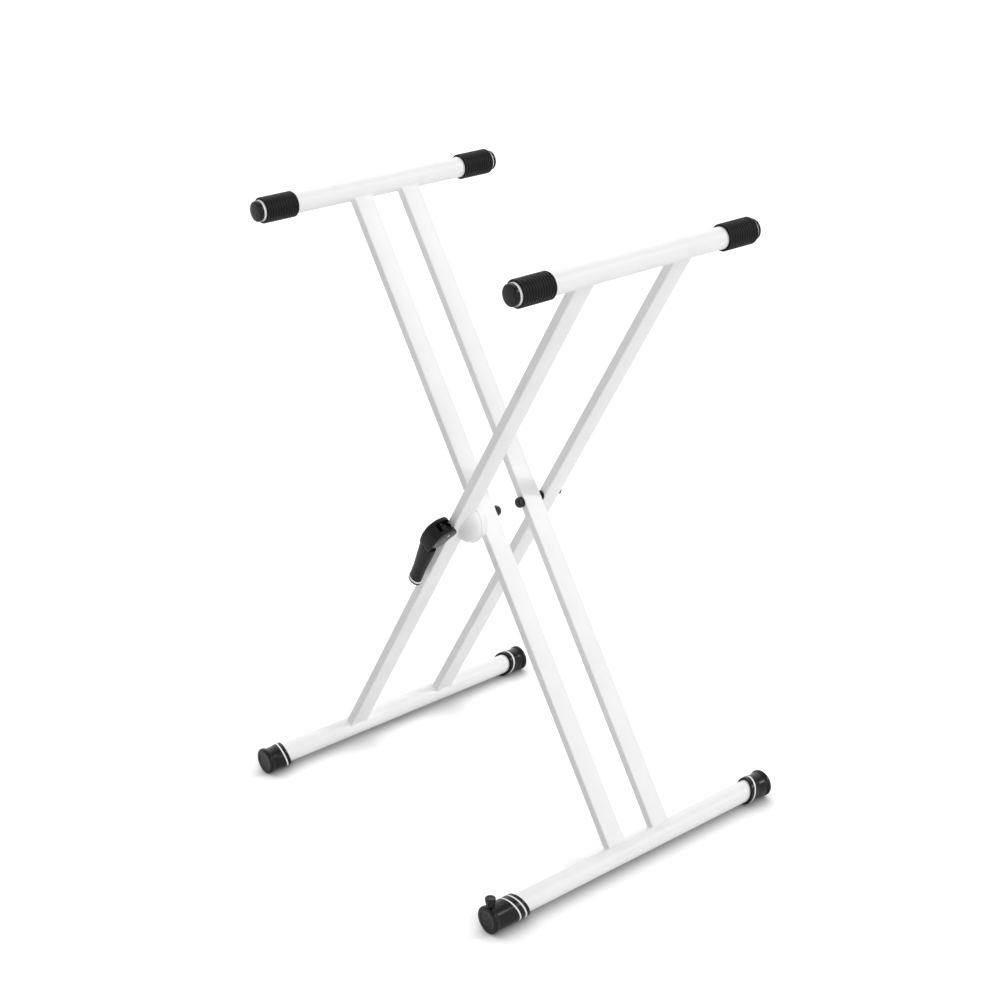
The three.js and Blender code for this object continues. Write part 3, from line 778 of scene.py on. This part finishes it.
# Black oxide on steel, oiled: nearly black, smooth, with the steel's shine coming through.
black_oxide, shader, place = new_material("black_oxide_steel", roughness=0.36, metallic=0.75)
mottle(black_oxide, shader, place, "#2a2a2c", "#1e1e20", size=5 * mm)
grain(black_oxide, shader, place, size=0.5 * mm, height=0.015 * mm, low=0.3, high=0.44)


def washer(node, radius, material):
    """A punched washer with the rolled edge of its face side."""
    start, end = axis_of(node)[2:]
    shape = lathe([
        (rod_hole, 0),
        (radius, 0, 0.35 * mm),
        (radius, end - start, 0.35 * mm),
        (rod_hole, end - start),
    ], closed=True)
    along_y(shape, pivot.x, start, pivot.z)
    new_piece(f"{node}_disc", shape, material, body_of[node], node)


def hexagon_nut(node, across_flats, placing):
    """A hexagon nut with both faces chamfered to a cone, so that its corners are cut back."""
    start, end = axis_of(node)[2:]
    height = end - start
    corner = across_flats / 2 / cos(pi / 6)
    face = across_flats / 2 - 0.3 * mm
    chamfer = 1.3 * mm
    shape = bmesh.new()
    rows = []
    sides = 72
    for limit, along in (
        (rod_hole, 0),
        (face, 0),
        (corner, chamfer),
        (corner, height - chamfer),
        (face, height),
        (rod_hole, height),
    ):
        row = []
        for i in range(sides):
            angle = 2 * pi * i / sides
            flat = across_flats / 2 / cos((angle + pi / 6) % (pi / 3) - pi / 6)
            radius = min(flat, limit)
            row.append(shape.verts.new((radius * cos(angle), start + along, radius * sin(angle))))
        rows.append(row)
    for row, following in zip(rows, rows[1:] + rows[:1]):
        for i in range(sides):
            j = (i + 1) % sides
            shape.faces.new((row[i], row[j], following[j], following[i]))
    bmesh.ops.transform(shape, matrix=placing, verts=shape.verts)
    new_piece(f"{node}_steel", shape, black_oxide, body_of[node], node)


nut_size = 15 * mm
round_in_solid = cos(pi / 12)  # keeps a round washer inside the flats of its solid
for node in ("front_pivot_nut", "rear_pivot_nut"):
    hexagon_nut(node, nut_size, outer_placing)
for node in ("front_pivot_washer", "rear_pivot_washer"):
    washer(node, tube_radius_of(node) * round_in_solid, black_oxide)
washer("lever_washer", 7.4 * mm, black_oxide)  # fits between the lever's tines
spacer_radius = tube_radius_of("rear_pivot_spacer") * round_in_solid
washer("rear_pivot_spacer", spacer_radius, black_moulding)

sleeve_radius = 5.6 * mm
for frame_name in ("outer", "inner"):
    for end_name in ("front", "rear"):
        node = f"{frame_name}_{end_name}_pivot_sleeve"
        start, end = axis_of(node)[2:]
        shape = lathe([
            (rod_hole, 0, 0.2 * mm),
            (sleeve_radius, 0, 0.3 * mm),
            (sleeve_radius, end - start, 0.3 * mm),
            (rod_hole, end - start, 0.2 * mm),
        ], closed=True)
        along_y(shape, pivot.x, start, pivot.z)
        new_piece(f"{node}_steel", shape, zinc_plate, body_of[node], node)

rod_radius = 4 * mm
rod_pitch = 1.25 * mm
start, end = axis_of("rear_pivot_bolt")[2:]
head_radius = 8 * mm
head_height = 4 * mm
bolt_thread = 24 * mm
length = end - start
thread = threaded(rod_radius, 0, bolt_thread, rod_pitch)[:-2]
shape = lathe(thread + [
    (rod_radius, bolt_thread + 1 * mm),
    (rod_radius, length - head_height),
    (head_radius, length - head_height, 0.3 * mm),
    (head_radius, length - 0.5 * head_height, 1.2 * mm),
    (0.62 * head_radius, length, 1.0 * mm),
    (0.4 * head_radius, length, 0.3 * mm),
    (0.4 * head_radius, length - 2 * mm),
    (0, length - 2 * mm),
])
along_y(shape, pivot.x, start, pivot.z)
new_piece("rear_pivot_bolt_steel", shape, black_oxide, "outer_frame", "rear_pivot_bolt")


# ---------------------------------------------------------------- pull rod

# A round steel rod that the lever pulls through the front pivot. It is threaded at its far end,
# and a flat eye is forged at the other for the lever's pin.

end = axis_of("pull_rod")[3]
eye_radius = 6.8 * mm
eye_width = 10.6 * mm
pin_radius = 3 * mm
eye_hole = pin_radius + 0.3 * mm
shank_start = 5 * mm  # from the pin, within the eye
plain_share = 0.72  # of the rod's length, without a thread
pin_y = Vector(frame["joints"][2]["pos_m"]).y

thread = threaded(rod_radius, 0, end - pin_y, rod_pitch)
plain = int(plain_share * len(thread))
shank = [(rod_radius, along) for crest, along in thread[2:plain:8]]
outline = [(0, shank_start), (rod_radius, shank_start)] + shank + thread[plain:]
shape = along_y(lathe(outline), pivot.x, pin_y, pivot.z)
eye = lathe([
    (eye_hole, -eye_width / 2, 0.3 * mm),
    (eye_radius, -eye_width / 2, 0.8 * mm),
    (eye_radius, eye_width / 2, 0.8 * mm),
    (eye_hole, eye_width / 2, 0.3 * mm),
], closed=True)
across_pin = Matrix.Translation((0, pin_y, 0)) @ Matrix.Rotation(pi / 2, 4, "Y")
bmesh.ops.transform(eye, matrix=outer_placing @ across_pin, verts=eye.verts)
eye_mesh = bpy.data.meshes.new("eye")
eye.to_mesh(eye_mesh)
shape.from_mesh(eye_mesh)
eye.free()
new_piece("pull_rod_steel", shape, black_oxide, "rod", "pull_rod")


# ---------------------------------------------------------------- lock lever

# The lever is a black moulded fork whose tines straddle the brace. A pin through the tines holds
# the rod's eye, and a rubber grip with a white ring and an end cap is pushed over the fork's core.

lever_placing = outer_placing @ Matrix.Translation((0, pin_y, 0))
fork_width = 29.0 * mm
fork_slot = 15.6 * mm  # lets the brace in between the tines
fork_round = 1.6 * mm
fork_taper = 0.22  # by which the fork is narrower where the grip starts
tine_reach = 15 * mm  # from the pin past the edge of the brace
tine_top = 13 * mm
tine_foot = 8.5 * mm
heel = 30 * mm
handle_offset = 17.7 * mm
handle_tilt = radians(5.3)  # the handle closes in on the brace
handle_wide = 1.16  # the handle is an oval, wider than it is thick
handle_flat = 0.86
lever_length = 125 * mm
grip_top = 13 * mm
grip_end = 10.2 * mm
lever_end = 11 * mm
core_room = 7.3 * mm


def curve_points(start, bend, end, steps=8):
    """Points on a curve from start to end that is pulled towards the bend."""
    points = []
    for step in range(steps + 1):
        t = step / steps
        point = Vector(start) * (1 - t) ** 2 + Vector(bend) * 2 * t * (1 - t) + Vector(end) * t ** 2
        points.append(tuple(point))
    return points


def fork_side():
    """Side view of the fork as (towards the brace, up), from the cam's foot round to the throat."""
    points = []
    for degrees in range(-60, 91, 10):
        height = tine_top if degrees > 0 else tine_foot
        points.append((tine_reach * cos(radians(degrees)), height * sin(radians(degrees))))
    across = grip_top * handle_flat * cos(handle_tilt)
    rise = grip_top * handle_flat * sin(handle_tilt)
    outer = (-handle_offset - across, -heel - rise)
    inner = (-handle_offset + across, -heel + rise)
    points += curve_points((-9 * mm, 11.4 * mm), (-20.5 * mm, 6.6 * mm), (-24.5 * mm, -4 * mm))
    points += curve_points((-26.6 * mm, -12 * mm), (-29.0 * mm, -22 * mm), outer)
    points += curve_points(inner, (-3 * mm, -23 * mm), (1 * mm, -16.5 * mm), steps=5)
    return points


def slab(points, width):
    """The side view extruded across the lever, to half the width on each side of the pin."""
    shape = bmesh.new()
    left = [shape.verts.new((-width / 2, y, z)) for y, z in points]
    right = [shape.verts.new((width / 2, y, z)) for y, z in points]
    for i in range(len(points)):
        j = (i + 1) % len(points)
        shape.faces.new((left[i], left[j], right[j], right[i]))
    shape.faces.new(left)
    shape.faces.new(right)
    return shape


shape = slab(fork_side(), fork_width)
for vert in shape.verts:
    # The block narrows into the round grip at its heel.
    down = min(max((-vert.co.z - tine_foot) / (heel - tine_foot), 0), 1)
    vert.co.x *= 1 - fork_taper * down ** 2
bmesh.ops.recalc_face_normals(shape, faces=shape.faces)
rim = [edge for edge in shape.edges if edge.calc_face_angle(0) > radians(50)]
bmesh.ops.bevel(shape, geom=rim, offset=fork_round, segments=3, profile=0.5, affect="EDGES")
fork = new_piece("lever_fork_moulding", shape, black_moulding, "lever", "lever_fork")
slot_back = 15 * mm
slot_floor = 9.2 * mm
reach = 26 * mm
slot = block((-fork_slot / 2, -slot_back, -slot_floor), (fork_slot / 2, reach, reach))
cut_away(fork, slot, "fork_slot")
pin_hole = pin_radius + 0.2 * mm
hole = lathe([(0, -reach), (pin_hole, -reach), (pin_hole, reach), (0, reach)], sides=48)
bmesh.ops.transform(hole, matrix=Matrix.Rotation(pi / 2, 4, "Y"), verts=hole.verts)
cut_away(fork, hole, "fork_pin_hole")
fork.data.transform(lever_placing)

pin_length = fork_width - 1.2 * mm
shape = lathe([
    (0, -pin_length / 2),
    (pin_radius, -pin_length / 2, 0.6 * mm),
    (pin_radius, pin_length / 2, 0.6 * mm),
    (0, pin_length / 2),
], sides=48)
bmesh.ops.transform(shape, matrix=lever_placing @ Matrix.Rotation(pi / 2, 4, "Y"), verts=shape.verts)
new_piece("lever_pin_steel", shape, zinc_plate, "lever", "lever_pin")

down_handle = (
    lever_placing
    @ Matrix.Translation((0, -handle_offset, -heel))
    @ Matrix.Rotation(handle_tilt, 4, "X")
    @ Matrix.Rotation(pi, 4, "X")
    @ Matrix.Diagonal((handle_wide, handle_flat, 1, 1))
)
handle_length = lever_length - heel
end_cap = 4.2 * mm
lever_ring = 3.4 * mm
lever_seam = 0.3 * mm
cap_start = handle_length - end_cap
ring_start = cap_start - lever_ring - lever_seam
grip_finish = ring_start - lever_seam

shape = lathe([
    (core_room, lever_seam),
    (grip_top, lever_seam, 1.2 * mm),
    (grip_top, 12 * mm, 2 * mm),
    (grip_end, 0.7 * ring_start, 2 * mm),
    (grip_end, grip_finish, 0.6 * mm),
    (core_room, grip_finish),
], closed=True)
bmesh.ops.transform(shape, matrix=down_handle, verts=shape.verts)
new_piece("lever_grip_rubber", shape, black_rubber, "lever", "lever_grip")

shape = lathe([
    (core_room, ring_start),
    (lever_end, ring_start, 0.6 * mm),
    (lever_end, ring_start + lever_ring, 0.6 * mm),
    (core_room, ring_start + lever_ring),
], closed=True)
bmesh.ops.transform(shape, matrix=down_handle, verts=shape.verts)
new_piece("lever_ring_moulding", shape, white_moulding, "lever", "lever_ring")

spigot_radius = 3 * mm
spigot_length = 10 * mm
shape = lathe([
    (0, cap_start - spigot_length),
    (spigot_radius, cap_start - spigot_length, 0.4 * mm),
    (spigot_radius, cap_start),
    (lever_end, cap_start, 0.3 * mm),
    (lever_end, handle_length, 2.0 * mm),
    (0, handle_length),
])
bmesh.ops.transform(shape, matrix=down_handle, verts=shape.verts)
new_piece("lever_end_cap_moulding", shape, black_moulding, "lever", "lever_end_cap")


# ---------------------------------------------------------------- studio

# A white studio: an endless white floor under a broad soft light from above and one from the
# right, so that the braces' wide faces are bright and their front edges stay grey. A third and
# smaller light draws a streak along the round black caps.

white_floor = bpy.data.materials.new("white_floor")
white_floor.use_nodes = True
floor_shader = white_floor.node_tree.nodes["Principled BSDF"]
floor_shader.inputs["Base Color"].default_value = linear("#e0e0e0")
floor_shader.inputs["Roughness"].default_value = 0.9
floor_shader.inputs["Specular IOR Level"].default_value = 0


def shown_ray(owner):
    """1 for what the camera sees, straight or in something glossy or clear, and 0 for the rest."""
    ray = add_node(owner, "LightPath").outputs
    eye_or_gloss = {0: ray["Is Camera Ray"], 1: ray["Is Glossy Ray"]}
    seen = add_node(owner, "Math", {"operation": "MAXIMUM"}, eye_or_gloss).outputs["Value"]
    any_of_them = {0: seen, 1: ray["Is Transmission Ray"]}
    return add_node(owner, "Math", {"operation": "MAXIMUM"}, any_of_them).outputs["Value"]


# To the camera, and in what shines, the paper of the floor is lifted to the white of the
# photograph. It still lights the stand as plain pale paper and keeps the stand's shadow, and it
# darkens close under the tubes and caps, where little light gets in.
shade_reach = 90 * mm
# Painted shade: the ambient occlusion darkens the paper's colour and its lift close under the tubes and
# caps, on top of the lamps' own shadow.
painted_shade = add_node(white_floor, "AmbientOcclusion", {"Color": linear("#ffffff"), "Distance": shade_reach})
paper = add_node(white_floor, "BsdfDiffuse", links={"Color": painted_shade.outputs["Color"]})
lift = add_node(white_floor, "Emission", {"Strength": 0.42}, {"Color": painted_shade.outputs["Color"]})
lifted = add_node(white_floor, "AddShader", links={0: paper.outputs["BSDF"], 1: lift.outputs["Emission"]})
shown = add_node(white_floor, "MixShader", links={
    0: shown_ray(white_floor),
    1: floor_shader.outputs["BSDF"],
    2: lifted.outputs["Shader"],
})
floor_surface = white_floor.node_tree.nodes["Material Output"].inputs["Surface"]
white_floor.node_tree.links.new(shown.outputs["Shader"], floor_surface)

floor_shape = bmesh.new()
floor_reach = 40  # metres each way
bmesh.ops.create_grid(floor_shape, x_segments=8, y_segments=8, size=floor_reach)
floor_mesh = bpy.data.meshes.new("studio_floor")
floor_shape.to_mesh(floor_mesh)
floor_shape.free()
floor_mesh.materials.append(white_floor)
floor = bpy.data.objects.new("studio_floor", floor_mesh)
bpy.context.scene.collection.objects.link(floor)

world = bpy.data.worlds.new("white_studio")
bpy.context.scene.world = world
world.use_nodes = True
ambient = world.node_tree.nodes["Background"]
ambient.inputs["Color"].default_value = linear("#ffffff")
ambient.inputs["Strength"].default_value = 0.26
backdrop = add_node(world, "Background", {"Color": linear("#ffffff"), "Strength": 1.0})
seen = add_node(world, "MixShader", links={
    0: shown_ray(world),
    1: ambient.outputs["Background"],
    2: backdrop.outputs["Background"],
})
world_surface = world.node_tree.nodes["World Output"].inputs["Surface"]
world.node_tree.links.new(seen.outputs["Shader"], world_surface)


def soft_light(name, towards, strength, spread):
    """Even soft light from one side of the studio. The spread is the angle that its source fills."""
    lamp = bpy.data.lights.new(name, "SUN")
    lamp.energy = strength
    lamp.angle = radians(spread)
    holder = bpy.data.objects.new(name, lamp)
    bpy.context.scene.collection.objects.link(holder)
    holder.rotation_euler = Vector(towards).to_track_quat("Z", "Y").to_euler()


soft_light("overhead_light", (-0.9, 0.3, 1.0), 1.75, 80)
soft_light("right_light", (1.0, -0.1, 0.25), 1.5, 70)
soft_light("edge_light", (0.55, 0.6, 0.52), 0.7, 8)

scene = bpy.context.scene
scene.view_settings.view_transform = "Standard"
